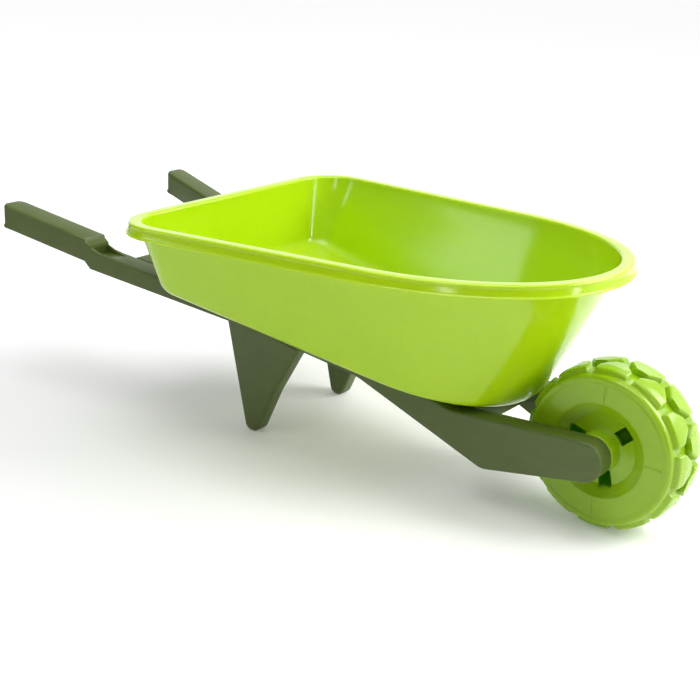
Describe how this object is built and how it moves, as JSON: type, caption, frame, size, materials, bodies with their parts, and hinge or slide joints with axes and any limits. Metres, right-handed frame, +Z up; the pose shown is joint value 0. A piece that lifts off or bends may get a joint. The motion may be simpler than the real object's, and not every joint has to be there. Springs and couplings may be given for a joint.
{
  "type": "toy wheelbarrow",
  "caption": "Child's moulded wheelbarrow with a deep round-nosed tray on a channel-section fork frame, plug-in legs and a lugged plastic front wheel that spins freely.",
  "frame": {"origin": "centre of the bounding box's base, on the ground plane that the wheel and both feet stand on", "axes": "+X forwards from the grips to the wheel, +Y to the left-hand shaft as seen by the child who pushes it, +Z up"},
  "size_m": [0.7818, 0.3486, 0.2386],
  "materials": {
    "tray_plastic": "glossy lime-green moulded plastic",
    "frame_plastic": "satin dark olive-green moulded plastic with a fine grain",
    "wheel_plastic": "semi-gloss lime-green moulded plastic",
    "screw_steel": "zinc-plated steel",
    "axle_steel": "plain drawn steel rod"
  },
  "bodies": {
    "chassis": {"tray": "tray_plastic", "right_shaft": "frame_plastic", "left_shaft": "frame_plastic", "right_leg": "frame_plastic", "left_leg": "frame_plastic", "rear_crossplate": "frame_plastic", "front_crossbar": "frame_plastic", "axle": "axle_steel", "tray_screw_rear_right": "screw_steel", "tray_screw_rear_left": "screw_steel", "tray_screw_front_right": "screw_steel", "tray_screw_front_left": "screw_steel", "plate_screw_rear_right": "screw_steel", "plate_screw_rear_left": "screw_steel", "plate_screw_front_right": "screw_steel", "plate_screw_front_left": "screw_steel", "bar_screw_right": "screw_steel", "bar_screw_left": "screw_steel", "right_leg_screw": "screw_steel", "left_leg_screw": "screw_steel"},
    "wheel": {"wheel_half_right": "wheel_plastic", "wheel_half_left": "wheel_plastic"}
  },
  "joints": [
    {"name": "wheel_spin", "type": "hinge", "parent": "chassis", "child": "wheel", "pos_m": [0.3124, 0, 0.0785], "axis": [0, 1, 0], "continuous": true}
  ]
}
